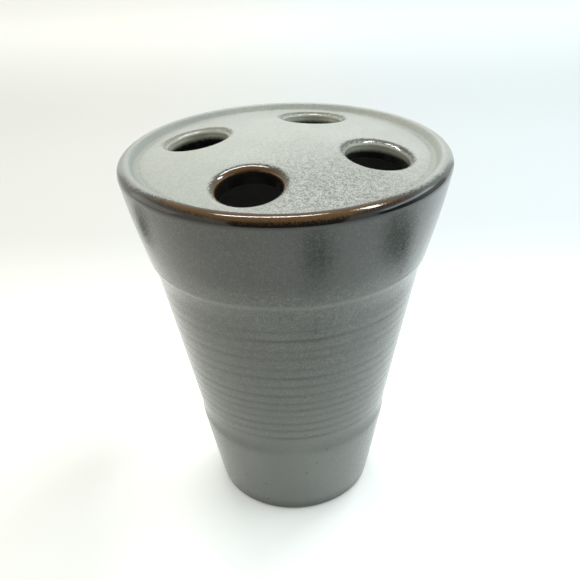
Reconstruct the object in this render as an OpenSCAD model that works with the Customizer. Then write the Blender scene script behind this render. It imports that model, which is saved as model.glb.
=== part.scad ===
// Toothbrush holder: a thrown and glazed stoneware cup, closed by a domed top
// with four holes that each take one brush.
// Millimetres, +Z up, origin at the centre of the foot, on the table.

/* [Cup] */
// Radius of the cup across its rim
rim_r = 45; // [44:0.5:50]
// Radius at the bottom edge, where the cup meets the table
foot_r = 23.1; // [21:0.1:23.3]
// Radius just above the rounded foot
foot_top_r = 24.3; // [23.8:0.1:25]
// Radius at the top of the smooth lower zone
ledge_r = 28.3; // [27.8:0.1:28.8]
// Radius at the bottom of the band of throwing rings
band_low_r = 28.7; // [28.2:0.1:29.4]
// Radius at the top of the band of throwing rings
band_top_r = 37.1; // [36:0.1:38]
// Radius of the soft ridge above the band
ridge_r = 40.1; // [39:0.1:41]
// Height of the rounded foot
foot_round_h = 4.9; // [3:0.1:6]
// Height of the smooth lower zone above the foot
lower_zone_h = 21.2; // [14:0.1:26]
// Height of the soft ledge under the band
ledge_h = 5; // [3:0.5:8]
// Height of the band of throwing rings
band_h = 44.4; // [36:0.1:52]
// Height of the step up to the ridge
ridge_h = 9.5; // [6:0.5:12]
// Height of the smooth upper zone
upper_zone_h = 20.6; // [16:0.1:28]
// How far the upper zone swells beyond a straight cone
upper_swell = 0.25; // [0:0.05:0.6]

/* [Clay] */
// Thickness of the thrown wall
wall_t = 4; // [3:0.1:5.5]
// Thickness of the floor
floor_t = 6; // [4:0.5:9]
// Radius of the curve between floor and wall inside
floor_round_r = 7; // [4:0.5:10]
// Depth of the turned hollow under the foot
foot_hollow_d = 1.2; // [0.5:0.1:2]
// Width of the ring that the cup stands on
foot_ring_w = 4.5; // [3:0.5:7]

/* [Rings] */
// Depth of the deepest throwing ring
ring_d = 0.3; // [0.1:0.05:0.45]
// Half the width of one throwing ring
ring_half_w = 1; // [0.5:0.1:1.3]

/* [Top] */
// Width of the roll at the rim's outer edge
rim_round_w = 3; // [2:0.1:3.4]
// Height of the roll
rim_round_h = 2.5; // [1.6:0.1:2.8]
// Width of the slope from the rim down to the groove
rim_slope_w = 2; // [1.8:0.1:3]
// Depth of the groove below the rim
groove_d = 1.8; // [0.8:0.05:2.2]
// Height of the dome above the groove
dome_h = 4.8; // [3:0.05:5.5]
// Thickness of the top plate
plate_t = 4; // [3:0.1:5]
// Width of the ledge that the plate's edge sits on
seat_w = 2.6; // [2:0.1:3.2]
// Height of the bead of clay that forms the ledge
bead_h = 3; // [2:0.5:4]
// Height of the slope from the bead down to the plain wall
bead_slope_h = 3; // [2:0.5:4]

/* [Brush holes] */
// Number of brush holes
hole_count = 4; // [2:1:4]
// Radius of a brush hole at its straight wall
hole_r = 8.4; // [7:0.1:9]
// Width of the top between a hole's edge and the edge of the plate
hole_gap = 3.3; // [3:0.1:7]
// Direction of the first hole, seen from above
first_hole_angle = -109.2; // [-180:0.1:180]
// Radius of the gentle curve that leads from the dome into a hole
hole_flare_r = 3; // [2:0.1:4]
// Tilt, in degrees, at which the gentle curve passes into a tight one
hole_flare_angle = 35; // [20:1:45]
// Radius of the tight curve, which ends at the hole's straight wall
hole_round_r = 0.9; // [0.9:0.1:1.3]

/* [Glaze and slip] */
// Thickness of the glaze outside and on top
glaze_t = 0.5; // [0.3:0.05:0.8]
// Thickness of the glaze inside the cup
liner_t = 0.4; // [0.3:0.05:0.8]
// Height of the bare clay left below the outside glaze
bare_foot_h = 0.8; // [0.5:0.1:2]
// Thickness of the slip under and around the plate's edge
slip_t = 0.5; // [0.3:0.1:0.8]

/* [Hidden] */
$fn = 96;
// How far a cut runs past what it cuts
overrun = 1;
// Steps along a rounded edge, a blend, a plain zone of the wall and the dome
arc_steps = 8;
blend_steps = 8;
zone_steps = 4;
dome_steps = 24;
// Heights of the rings as shares of the band, measured up the wall
ring_height_shares = [0.04, 0.11, 0.175, 0.24, 0.3, 0.36, 0.43, 0.505,
                      0.58, 0.65, 0.74, 0.8, 0.885, 0.955];
// Depths of the same rings as shares of the deepest
ring_depth_shares = [0.8, 0.7, 0.9, 0.6, 0.8, 0.7, 1, 0.7,
                     0.9, 0.6, 1, 0.6, 0.9, 0.5];
// A ring's cross-section: places across it as shares of its half width, each
// with its share of the ring's depth
ring_section_shares = [[-1, 0], [-0.5, 0.6], [0, 1], [0.5, 0.6], [1, 0]];
// Where the outside glaze breaks to bronze on the roll of the rim, as a share
// of the quarter turn from level to upright
break_share = 0.08;
// How far out each hole sits as a share of the circle through the holes: the
// first was cut a little further out than the rest
hole_place_shares = [1.07, 1, 1, 1];

// Heights where one zone of the wall meets the next
ledge_low_z = foot_round_h + lower_zone_h;
band_low_z = ledge_low_z + ledge_h;
band_top_z = band_low_z + band_h;
ridge_z = band_top_z + ridge_h;
roll_low_z = ridge_z + upper_zone_h;

// The roll of the rim: a round edge that starts where it is in line with the
// wall, and the crest where it ends
rim_slope = (rim_r - ridge_r) / upper_zone_h;
roll_low_angle = -atan(rim_slope * rim_round_h / rim_round_w);
break_angle = 90 * break_share;
crest_r = rim_r - rim_round_w;
roll_z = roll_low_z - rim_round_h * sin(roll_low_angle);
rim_z = roll_z + rim_round_h;
roll_low_r = crest_r + rim_round_w * cos(roll_low_angle);

// Slopes of the three smooth zones, as radius gained per height
lower_slope = (ledge_r - foot_top_r) / lower_zone_h;
band_slope = (band_top_r - band_low_r) / band_h;
upper_slope = (roll_low_r - ridge_r) / upper_zone_h;
foot_turn = foot_top_r - lower_slope * foot_round_h - foot_r;

// The groove, and the ball whose cap is the dome
groove_r = crest_r - rim_slope_w;
groove_z = rim_z - groove_d;
dome_r = (groove_r * groove_r + dome_h * dome_h) / (2 * dome_h);
dome_centre_z = groove_z + dome_h - dome_r;
dome_edge_slope = groove_r / sqrt(dome_r * dome_r - groove_r * groove_r);

// The plate's edge, the slip round it and the seat that it drops into
seat_r = groove_r;
plate_r = seat_r - slip_t;
seat_inner_r = seat_r - seat_w;
clay_dome_r = dome_r - glaze_t;
plate_low_z = height_on_ball(seat_inner_r, clay_dome_r - plate_t);
seat_z = plate_low_z - slip_t;
bead_low_z = seat_z - bead_h;

// A brush hole points at the centre of the dome's ball, so its edge is the
// same all round. The edge is two arcs. The gentle one leaves the dome at
// edge_angle from the hole's axis, and the tight one ends at the hole's
// straight wall. Each arc's centre lies u from the axis, and w along it from
// the ball's centre.
arcs_apart = hole_flare_r - hole_round_r;
round_u = hole_r + hole_round_r;
flare_u = round_u + arcs_apart * sin(hole_flare_angle);
flare_w = sqrt(pow(dome_r - hole_flare_r, 2) - flare_u * flare_u);
round_w = flare_w + arcs_apart * cos(hole_flare_angle);
edge_angle = asin(flare_u / (dome_r - hole_flare_r));

// The circle through the hole centres
hole_circle_r = plate_r - hole_gap - flare_u;

function mix(a, b, t) = a + (b - a) * t;
// A smooth curve from a to b over t = 0 to 1, with a given rise at each end
function blend(a, b, rise_a, rise_b, t) =
    a * (2 * pow(t, 3) - 3 * pow(t, 2) + 1)
    + b * (3 * pow(t, 2) - 2 * pow(t, 3))
    + rise_a * (pow(t, 3) - 2 * pow(t, 2) + t)
    + rise_b * (pow(t, 3) - pow(t, 2));
function reversed(points) = [for (i = [len(points) - 1 : -1 : 0]) points[i]];
function without_first(points) = [for (i = [1 : len(points) - 1]) points[i]];
// Height at distance r from the axis on a ball round the dome's centre
function height_on_ball(r, ball_r) = dome_centre_z + sqrt(ball_r * ball_r - r * r);
// Points of an arc, from one angle to another
function arc(cx, cy, r, from, to) =
    [for (i = [0 : arc_steps])
        let (a = mix(from, to, i / arc_steps)) [cx + r * cos(a), cy + r * sin(a)]];

// Radius of the smooth wall at height z, with no rings in it
function wall_r(z) =
    z < foot_round_h ? foot_top_r + lower_slope * (z - foot_round_h)
                       - foot_turn * pow(1 - z / foot_round_h, 2) :
    z < ledge_low_z ? foot_top_r + lower_slope * (z - foot_round_h) :
    z < band_low_z ? blend(ledge_r, band_low_r, lower_slope * ledge_h,
                           band_slope * ledge_h, (z - ledge_low_z) / ledge_h) :
    z < band_top_z ? band_low_r + band_slope * (z - band_low_z) :
    z < ridge_z ? blend(band_top_r, ridge_r, band_slope * ridge_h,
                        upper_slope * ridge_h, (z - band_top_z) / ridge_h) :
    ridge_r + upper_slope * (z - ridge_z)
        + upper_swell * sin(180 * (z - ridge_z) / upper_zone_h);

// The outside of the wall as points (radius, height), from a given height on
// the foot to the roll of the rim, set in by the thickness of a coat
function zone_points(low_z, high_z, steps, inset) =
    [for (i = [1 : steps])
        let (z = mix(low_z, high_z, i / steps)) [wall_r(z) - inset, z]];
function ring_points(inset) =
    [for (i = [0 : len(ring_height_shares) - 1], s = ring_section_shares)
        let (z = band_low_z + ring_height_shares[i] * band_h + s[0] * ring_half_w)
        [wall_r(z) - inset - s[1] * ring_d * ring_depth_shares[i], z]];
function wall_points(from_z, inset) = concat(
    [[wall_r(from_z) - inset, from_z]],
    zone_points(from_z, foot_round_h, zone_steps, inset),
    [[wall_r(ledge_low_z) - inset, ledge_low_z]],
    zone_points(ledge_low_z, band_low_z, blend_steps, inset),
    ring_points(inset),
    [[wall_r(band_top_z) - inset, band_top_z]],
    zone_points(band_top_z, ridge_z, blend_steps, inset),
    [for (i = [1 : zone_steps - 1])
        let (z = mix(ridge_z, roll_low_z, i / zone_steps)) [wall_r(z) - inset, z]]);

// The roll of the rim between two angles, set in by the thickness of a coat
function roll_points(from, to, inset) =
    [for (i = [0 : arc_steps])
        let (a = mix(from, to, i / arc_steps))
        [crest_r + (rim_round_w - inset) * cos(a),
         roll_z + (rim_round_h - inset) * sin(a)]];

// The slope from the crest of the rim down to the groove, where it runs on
// into the dome, under a coat of a given thickness
function slope_points(inset) =
    [for (i = [1 : blend_steps])
        let (t = i / blend_steps)
        [mix(crest_r, groove_r, t),
         blend(rim_z - inset, height_on_ball(groove_r, dome_r - inset),
               0, dome_edge_slope * rim_slope_w, t)]];

// The inside of the cup from the middle of the floor up to the seat, set in
// by the thickness of a coat
function inner_r(z) = wall_r(z) - glaze_t - wall_t;
function inner_points(inset) =
    let (curve_z = floor_t + floor_round_r)
    concat(
        [[0, floor_t + inset]],
        arc(inner_r(curve_z) - floor_round_r, curve_z, floor_round_r - inset, -90, 0),
        [for (z = [band_low_z, band_top_z, ridge_z, bead_low_z - bead_slope_h])
            [inner_r(z) - inset, z]],
        [[seat_inner_r - inset, bead_low_z],
         [seat_inner_r - inset, seat_z]]);

// The hole's rounded edge as points (from the hole's axis, along it from the
// ball's centre), from the straight wall up to the dome, under a coat
function edge_points(inset) =
    let (join = 90 + hole_flare_angle)
    concat(
        arc(round_u, round_w, hole_round_r - inset, 180, join),
        without_first(arc(flare_u, flare_w, hole_flare_r - inset, join, 90 - edge_angle)));

// The dome from the middle out to the plate's edge, on a ball round its
// centre. The plate and its glaze share these points, so they meet exactly.
function dome_points(ball_r) =
    [for (i = [0 : dome_steps])
        let (r = i < dome_steps ? groove_r * i / dome_steps : plate_r)
        [r, height_on_ball(r, ball_r)]];

// Places its children at each brush hole, with the ball's centre as origin
// and the hole's axis as Z
module each_hole() {
    for (i = [0 : hole_count - 1])
        rotate([0, 0, first_hole_angle + 360 * i / hole_count])
            translate([0, 0, dome_centre_z])
                rotate([0, asin(hole_circle_r * hole_place_shares[i] / dome_r), 0])
                    children();
}

// Outlines of the coats, out along one face and back along the other
module coat(outer, inner) {
    rotate_extrude()
        polygon(concat(outer, reversed(inner)));
}

// The clay cup: floor, wall, bead and rim, thrown in one piece. Its foot is
// turned hollow and stands on a ring.
module thrown_cup() {
    hollow_r = foot_r - glaze_t - foot_ring_w;
    outside = concat(
        [[foot_r - glaze_t, 0]],
        wall_points(bare_foot_h, glaze_t),
        roll_points(roll_low_angle, break_angle, glaze_t),
        without_first(roll_points(break_angle, 90, glaze_t)),
        slope_points(glaze_t));
    color([0.55, 0.5, 0.44])
        rotate_extrude()
            polygon(concat(
                inner_points(0),
                [[seat_r, seat_z]],
                reversed(outside),
                [[hollow_r, 0],
                 [hollow_r - foot_hollow_d, foot_hollow_d],
                 [0, foot_hollow_d]]));
}

// The top plate: a domed disc whose edge is flat below, to sit on the bead.
// Each hole goes straight through and opens into a rounded edge.
module top_plate() {
    low_ball_r = clay_dome_r - plate_t;
    past_r = dome_r + overrun;
    color([0.58, 0.53, 0.47])
        difference() {
            rotate_extrude()
                polygon(concat(
                    dome_points(clay_dome_r),
                    [[plate_r, plate_low_z]],
                    [for (i = [dome_steps : -1 : 0])
                        let (r = seat_inner_r * i / dome_steps)
                        [r, height_on_ball(r, low_ball_r)]]));
            each_hole() {
                translate([0, 0, low_ball_r - overrun])
                    cylinder(r = hole_r, h = round_w - low_ball_r + 2 * overrun);
                rotate_extrude()
                    polygon(concat(
                        [[0, round_w]],
                        edge_points(glaze_t),
                        [[past_r * sin(edge_angle), past_r * cos(edge_angle)],
                         [0, past_r]]));
            }
        }
}

// The slip that beds the plate on the bead and fills the gap round its edge
module slip_joint() {
    color([0.66, 0.61, 0.54])
        rotate_extrude()
            polygon([
                [seat_inner_r, seat_z],
                [seat_r, seat_z],
                [seat_r, height_on_ball(seat_r, clay_dome_r)],
                [plate_r, height_on_ball(plate_r, clay_dome_r)],
                [plate_r, plate_low_z],
                [seat_inner_r, plate_low_z]]);
}

// The glaze inside the cup, poured over the floor and the wall up to the seat
module liner_glaze() {
    color([0.12, 0.12, 0.11])
        coat(inner_points(0), inner_points(liner_t));
}

// The glaze outside, from the bare foot to where it breaks on the rim
module wall_glaze() {
    color([0.4, 0.41, 0.38])
        coat(concat(wall_points(bare_foot_h, 0), roll_points(roll_low_angle, break_angle, 0)),
             concat(wall_points(bare_foot_h, glaze_t),
                    roll_points(roll_low_angle, break_angle, glaze_t)));
}

// The glaze over the roll of the rim, broken to bronze
module rim_glaze() {
    color([0.36, 0.25, 0.17])
        coat(roll_points(break_angle, 90, 0), roll_points(break_angle, 90, glaze_t));
}

// The glaze on top, from the crest of the rim over the groove and the dome
module top_glaze() {
    color([0.62, 0.64, 0.6])
        difference() {
            coat(concat(dome_points(dome_r), reversed(slope_points(0)), [[crest_r, rim_z]]),
                 concat(dome_points(clay_dome_r), reversed(slope_points(glaze_t)),
                        [[crest_r, rim_z - glaze_t]]));
            each_hole()
                cylinder(r1 = 0, r2 = (dome_r + overrun) * tan(edge_angle), h = dome_r + overrun);
        }
}

// The glaze over the rounded edges of the holes, broken to bronze
module hole_edge_glaze() {
    color([0.36, 0.25, 0.17])
        each_hole()
            coat(edge_points(0), edge_points(glaze_t));
}

thrown_cup();
top_plate();
slip_joint();
liner_glaze();
wall_glaze();
rim_glaze();
top_glaze();
hole_edge_glaze();
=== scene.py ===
# %% [markdown]
# # A stoneware toothbrush holder
# The real holder is a cup thrown on the wheel, closed by a domed top with four
# holes, and glazed in one grey-green iron glaze. The glaze is pale and full of
# fine crystals where it lies level, darker on the steep wall, and it breaks
# to bronze wherever it runs thin over an edge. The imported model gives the
# clay and its true sizes. This lesson adds the skins of glaze that an eye
# sees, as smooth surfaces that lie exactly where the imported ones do.

# %% The frame and its box
import math

import bpy
from mathutils import Euler, Matrix, Vector


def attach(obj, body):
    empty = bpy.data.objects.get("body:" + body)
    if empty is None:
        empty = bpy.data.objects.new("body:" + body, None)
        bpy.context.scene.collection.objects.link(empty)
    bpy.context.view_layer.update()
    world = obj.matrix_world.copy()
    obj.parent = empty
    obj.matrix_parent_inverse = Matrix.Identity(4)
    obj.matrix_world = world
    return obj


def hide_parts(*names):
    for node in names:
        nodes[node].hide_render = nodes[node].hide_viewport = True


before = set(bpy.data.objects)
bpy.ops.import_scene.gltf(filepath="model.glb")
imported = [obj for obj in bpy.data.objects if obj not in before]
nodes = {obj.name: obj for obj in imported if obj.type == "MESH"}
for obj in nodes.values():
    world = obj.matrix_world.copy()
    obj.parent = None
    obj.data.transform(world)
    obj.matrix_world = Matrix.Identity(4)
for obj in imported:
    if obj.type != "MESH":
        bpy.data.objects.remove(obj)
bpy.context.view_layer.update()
print("CAD nodes:", sorted(nodes))

# %% [markdown]
# ## Sizes
# Every size is written once, in millimetres, and turned into metres where it
# is used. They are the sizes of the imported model, so the new skins need no
# fitting.

# %% Sizes of the cup, its top and its holes
MM = 0.001
FOOT_R, FOOT_TOP_R, FOOT_H, BARE_H = 23.1, 24.3, 4.9, 0.8
LEDGE_Z, LEDGE_R = 26.1, 28.3
BAND_LOW_Z, BAND_LOW_R = 31.1, 28.7
BAND_TOP_Z, BAND_TOP_R = 75.5, 37.1
RIDGE_Z, RIDGE_R = 85.0, 40.1
ROLL_LOW_Z, RIM_R, SWELL = 105.6, 45.0, 0.25
ROLL_W, ROLL_H, BREAK_ANGLE = 3.0, 2.5, 7.2
LEAN = (RIM_R - RIDGE_R) / (ROLL_LOW_Z - RIDGE_Z)
ROLL_LOW_ANGLE = -math.degrees(math.atan(LEAN * ROLL_H / ROLL_W))
CREST_R = RIM_R - ROLL_W
ROLL_Z = ROLL_LOW_Z - ROLL_H * math.sin(math.radians(ROLL_LOW_ANGLE))
RIM_Z = ROLL_Z + ROLL_H
ROLL_LOW_R = CREST_R + ROLL_W * math.cos(math.radians(ROLL_LOW_ANGLE))
GROOVE_R, GROOVE_Z = CREST_R - 2.0, RIM_Z - 1.8
DOME_H = 4.8
DOME_BALL_R = (GROOVE_R**2 + DOME_H**2) / (2 * DOME_H)
DOME_CENTRE_Z = GROOVE_Z + DOME_H - DOME_BALL_R
HOLE_R, HOLE_CIRCLE = 8.4, 25.695
FLARE_R, FLARE_TILT, ROUND_R = 3.0, math.radians(35), 0.9
HOLE_SHARES = [1.07, 1, 1, 1]
FIRST_HOLE = -109.2
GLAZE_T, EDGE_SKIN_T, PLATE_T = 0.5, 0.3, 4.0
print("rim height", round(RIM_Z, 3), "dome top", round(GROOVE_Z + DOME_H, 3), "mm")

# %% [markdown]
# ## The camera
# The photograph looks down on the holder from in front and a little above,
# from close by, so the cup narrows strongly towards its foot. A camera that
# was fitted to the photograph's outlines stands about 28 cm away and leans
# less than two degrees.

# %% The camera at the photograph's place
SENSOR_W, CLIP_START = 36, 0.01
CAMERA_AT = Vector((0, -208.824, 183.726)) * MM
PITCH, YAW, ROLL, FOCAL_PX, FRAME_PX = 29.625, 0.042, -1.934, 812.87, 580
pitch, yaw, roll = (math.radians(a) for a in (PITCH, YAW, ROLL))
forward = Vector((math.sin(yaw) * math.cos(pitch), math.cos(yaw) * math.cos(pitch), -math.sin(pitch)))
level_right = Vector((math.cos(yaw), -math.sin(yaw), 0))
level_up = level_right.cross(forward)
right = level_right * math.cos(roll) + level_up * math.sin(roll)
up = -level_right * math.sin(roll) + level_up * math.cos(roll)
camera_data = bpy.data.cameras.new("photo_camera")
camera_data.sensor_width = SENSOR_W
camera_data.lens = FOCAL_PX * SENSOR_W / FRAME_PX
camera_data.clip_start = CLIP_START
camera = bpy.data.objects.new("photo_camera", camera_data)
bpy.context.scene.collection.objects.link(camera)
camera.matrix_world = Matrix((
    (right.x, up.x, -forward.x, CAMERA_AT.x),
    (right.y, up.y, -forward.y, CAMERA_AT.y),
    (right.z, up.z, -forward.z, CAMERA_AT.z),
    (0, 0, 0, 1)))
bpy.context.scene.camera = camera
print("camera lens", round(camera_data.lens, 1), "mm")

# %% [markdown]
# ## Raising a tube, as on the wheel
# All the skins are round, so each one starts the way a pot does: a plain tube
# is raised at its place, cut into many level rings, and then every ring is
# eased out or in to its radius. A function says where the points of a ring
# go, from how far up the tube it is and from its direction round the axis.
# That last part lets a throwing ring climb as a spiral, which a turned
# outline could not do. Subdivide makes at most 100 cuts at once, so a tube
# with more rings is cut in stages.

# %% Helpers that pick a piece and cut it into rings
SIDES, MOST_CUTS, SMOOTH_ANGLE = 192, 100, math.radians(40)


def start_alone():
    """Nothing stays selected, so an operator acts on the new piece alone."""
    if bpy.context.object and bpy.context.object.mode != "OBJECT":
        bpy.ops.object.mode_set(mode="OBJECT")
    bpy.ops.object.select_all(action="DESELECT")


def pick(piece):
    """This piece alone is selected and active."""
    start_alone()
    piece.select_set(True)
    bpy.context.view_layer.objects.active = piece


def cut_into_rings(piece, cuts):
    """Every upright edge is cut, which makes level rings between its ends."""
    bpy.ops.object.mode_set(mode="EDIT")
    bpy.ops.mesh.select_mode(type="EDGE")
    bpy.ops.mesh.select_all(action="DESELECT")
    bpy.ops.object.mode_set(mode="OBJECT")
    points = piece.data.vertices
    for edge in piece.data.edges:
        a, b = (points[i].co for i in edge.vertices)
        edge.select = abs(a.z - b.z) > abs(a.x - b.x) + abs(a.y - b.y)
    bpy.ops.object.mode_set(mode="EDIT")
    bpy.ops.mesh.subdivide(number_cuts=cuts)
    bpy.ops.object.mode_set(mode="OBJECT")


print("tubes have", SIDES, "sides")

# %% Helpers that raise a tube and finish it
def raise_tube(name, place, sides, rings):
    """A thin tube from 0 to 1, each point of which goes to place(share up, direction)."""
    start_alone()
    bpy.ops.mesh.primitive_cylinder_add(
        vertices=sides, radius=MM, depth=1, end_fill_type="NOTHING", location=(0, 0, 0.5))
    piece = bpy.context.object
    piece.name = piece.data.name = name
    bpy.ops.object.transform_apply(location=True, rotation=False, scale=False)
    stages = math.ceil(rings / MOST_CUTS)
    while rings % stages:
        stages += 1
    if stages > 1:
        cut_into_rings(piece, stages - 1)
    cut_into_rings(piece, rings // stages - 1)
    for point in piece.data.vertices:
        direction = math.atan2(point.co.y, point.co.x)
        point.co = Vector(place(point.co.z, direction)) * MM
    print(name, "raised in", len(piece.data.polygons) // sides, "rings")
    return piece


def give_thickness(piece, thickness):
    """The skin gets its thickness inwards, under the surface that is seen."""
    pick(piece)
    solid = piece.modifiers.new("thickness", "SOLIDIFY")
    solid.thickness = thickness * MM
    solid.offset = -1
    bpy.ops.object.modifier_apply(modifier=solid.name)


def finish_piece(piece, node):
    """Smooth shading, and the piece takes the place of its CAD node."""
    pick(piece)
    bpy.ops.object.shade_smooth_by_angle(angle=SMOOTH_ANGLE)
    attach(piece, "root")
    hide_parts(node)
    print(piece.name, len(piece.data.polygons), "faces, stands for", node)


def ring_of(radius, height, direction):
    return (radius * math.cos(direction), radius * math.sin(direction), height)


print("a tube is raised, shaped, given its thickness and finished")

# %% [markdown]
# ## The wall and its throwing rings
# The wall is a rounded foot, a smooth lower zone, a soft ledge, a band of
# rings that the potter's fingers left, a soft ridge and a smooth upper zone.
# The rings are one groove that climbs as the wheel turns, so it is made as a spiral and not as separate
# rings. Its height after each turn is that of a ring of the imported model. Between two turns height and
# depth change evenly with the direction, so the groove joins up at the back, and a slow wave makes it a
# little uneven. It is cut shallower than the imported rings, because glaze fills it, and its dark tone,
# which is painted shade of the groove, comes from a mask on the points.

# %% The outline of the wall
def mix(a, b, t):
    return a + (b - a) * t


def blend(a, b, rise_a, rise_b, t):
    return (a * (2 * t**3 - 3 * t**2 + 1) + b * (3 * t**2 - 2 * t**3)
            + rise_a * (t**3 - 2 * t**2 + t) + rise_b * (t**3 - t**2))


LOWER_SLOPE = (LEDGE_R - FOOT_TOP_R) / (LEDGE_Z - FOOT_H)
BAND_SLOPE = (BAND_TOP_R - BAND_LOW_R) / (BAND_TOP_Z - BAND_LOW_Z)
UPPER_SLOPE = (ROLL_LOW_R - RIDGE_R) / (ROLL_LOW_Z - RIDGE_Z)
FOOT_TURN = FOOT_TOP_R - LOWER_SLOPE * FOOT_H - FOOT_R


def wall_r(z):
    """Radius of the wall at a height, with no rings in it."""
    if z < LEDGE_Z:
        foot = FOOT_TURN * (1 - z / FOOT_H) ** 2 if z < FOOT_H else 0
        return FOOT_TOP_R + LOWER_SLOPE * (z - FOOT_H) - foot
    if z < BAND_LOW_Z:
        h = BAND_LOW_Z - LEDGE_Z
        return blend(LEDGE_R, BAND_LOW_R, LOWER_SLOPE * h, BAND_SLOPE * h, (z - LEDGE_Z) / h)
    if z < BAND_TOP_Z:
        return BAND_LOW_R + BAND_SLOPE * (z - BAND_LOW_Z)
    if z < RIDGE_Z:
        h = RIDGE_Z - BAND_TOP_Z
        return blend(BAND_TOP_R, RIDGE_R, BAND_SLOPE * h, UPPER_SLOPE * h, (z - BAND_TOP_Z) / h)
    h = ROLL_LOW_Z - RIDGE_Z
    return RIDGE_R + UPPER_SLOPE * (z - RIDGE_Z) + SWELL * math.sin(math.pi * (z - RIDGE_Z) / h)


print("wall radius at the ridge", round(wall_r(RIDGE_Z), 2), "mm")

# %% The groove that climbs as a spiral
RING_HEIGHTS = [0.04, 0.11, 0.175, 0.24, 0.3, 0.36, 0.43, 0.505, 0.58, 0.65, 0.74, 0.8, 0.885, 0.955]
RING_DEPTHS = [0.8, 0.7, 0.9, 0.6, 0.8, 0.7, 1, 0.7, 0.9, 0.6, 1, 0.6, 0.9, 0.5]
RING_DEPTH, RING_HALF_W = 0.07, 0.9
WAVE_DEPTH, WAVE_SHIFT = 0.2, 1.7


def turn_height(turns):
    """Height of the groove after a number of turns."""
    last = len(RING_HEIGHTS) - 1
    i = min(max(int(math.floor(turns)), 0), last - 1)
    share = mix(RING_HEIGHTS[i], RING_HEIGHTS[i + 1], turns - i)
    return BAND_LOW_Z + share * (BAND_TOP_Z - BAND_LOW_Z)


def groove_depth(z, direction):
    """How deep the climbing groove is at a height and a direction."""
    ahead = math.remainder(direction + math.pi / 2, 2 * math.pi) / (2 * math.pi)
    deepest = 0
    for i in range(-1, len(RING_HEIGHTS) + 1):
        turns = i + ahead
        if not -0.5 <= turns <= len(RING_HEIGHTS) - 0.5:
            continue
        off = abs(z - turn_height(turns)) / RING_HALF_W
        if off < 1:
            j = min(max(turns, 0), len(RING_DEPTHS) - 1)
            k = min(int(j), len(RING_DEPTHS) - 2)
            depth = mix(RING_DEPTHS[k], RING_DEPTHS[k + 1], j - k)
            uneven = 1 - WAVE_DEPTH * math.sin(2 * direction + WAVE_SHIFT * i)
            deepest = max(deepest, depth * uneven * (0.5 + 0.5 * math.cos(math.pi * off)))
    return RING_DEPTH * min(deepest, 1)


print("the groove climbs in", len(RING_HEIGHTS), "turns")

# %% The wall, with the groove in it
BAND_MARGIN = 2
CREST_LINE_Z, CREST_LINE_H, CREST_LINE_W = 81.9, 0.12, 0.7
WALL_TOP_Z = ROLL_Z + ROLL_H * math.sin(math.radians(BREAK_ANGLE))


def in_band(z):
    return BAND_LOW_Z - BAND_MARGIN < z < BAND_TOP_Z + BAND_MARGIN


def soft_line(z, at, width):
    """1 at a height, and softly less above and below it."""
    return math.exp(-(((z - at) / width) ** 2))


def wall_place(share, direction):
    """The wall, from the bare clay at the foot to the break of the rim."""
    z = mix(BARE_H, WALL_TOP_Z, share)
    if z > ROLL_LOW_Z:
        a = math.asin(max(-1, min(1, (z - ROLL_Z) / ROLL_H)))
        return ring_of(CREST_R + ROLL_W * math.cos(a), z, direction)
    r = wall_r(z)
    if in_band(z):
        r -= groove_depth(z, direction)
    r += CREST_LINE_H * soft_line(z, CREST_LINE_Z, CREST_LINE_W)
    return ring_of(r, z, direction)


wall = raise_tube("wall_skin", wall_place, sides=SIDES, rings=236)

# %% The mask of painted shade in the groove and under the ledge
# The groove's dark tone is painted shade, fainter at the sides, and so is the soft line under the ledge,
# which shows only at the sides.
FAINTER_ASIDE = 0.7
LEDGE_SHADE, LEDGE_SHADE_UP, LEDGE_SHADE_W = 0.9, 1.2, 2.0
mask = wall.data.attributes.new("groove", "FLOAT", "POINT")
for point in wall.data.vertices:
    x, y, z = point.co / MM
    aside = abs(x) / math.hypot(x, y)
    value = 0
    if in_band(z):
        value = (1 - FAINTER_ASIDE * aside**2) * groove_depth(z, math.atan2(y, x)) / RING_DEPTH
    value += LEDGE_SHADE * aside * soft_line(z - LEDGE_Z, LEDGE_SHADE_UP, LEDGE_SHADE_W)
    mask.data[point.index].value = value
give_thickness(wall, GLAZE_T)
finish_piece(wall, "wall_glaze")

# %% [markdown]
# ## The roll of the rim
# The rim is rolled over, a little wider than it is high. It could be the top
# of the wall's skin, but the glaze breaks here, so it is a coat of its own
# with its own finish. It is the same kind of tube, whose rings run along a
# quarter of an ellipse from the wall up to the crest.

# %% The rim
def rim_place(share, direction):
    a = math.radians(mix(BREAK_ANGLE, 90, share))
    return ring_of(CREST_R + ROLL_W * math.cos(a), ROLL_Z + ROLL_H * math.sin(a), direction)


rim = raise_tube("rim_skin", rim_place, sides=SIDES, rings=20)
give_thickness(rim, GLAZE_T)
finish_piece(rim, "rim_glaze")

# %% [markdown]
# ## The domed top
# From the crest of the rim the glaze runs down into a groove and up over the
# dome, which is the cap of a large ball. A disc could be domed by hand, but
# the tube gives even rings: they run inwards along that line until the last
# one is a pinpoint at the middle, which is then merged to one point. The
# holes are cut by cones with their tips at the ball's centre, and not by
# upright cylinders, so each cut edge is square to the dome.

# %% The top, from the crest to the middle
SLOPE_SHARE, MERGE = 0.14, 0.00001


def top_place(share, direction):
    """Share 0 is the middle of the dome and share 1 the crest of the rim."""
    if share < 1 - SLOPE_SHARE:
        r = GROOVE_R * share / (1 - SLOPE_SHARE)
        return ring_of(r, DOME_CENTRE_Z + math.sqrt(DOME_BALL_R**2 - r**2), direction)
    t = (1 - share) / SLOPE_SHARE
    rise = GROOVE_R / math.sqrt(DOME_BALL_R**2 - GROOVE_R**2) * (CREST_R - GROOVE_R)
    return ring_of(mix(CREST_R, GROOVE_R, t), blend(RIM_Z, GROOVE_Z, 0, rise, t), direction)


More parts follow.
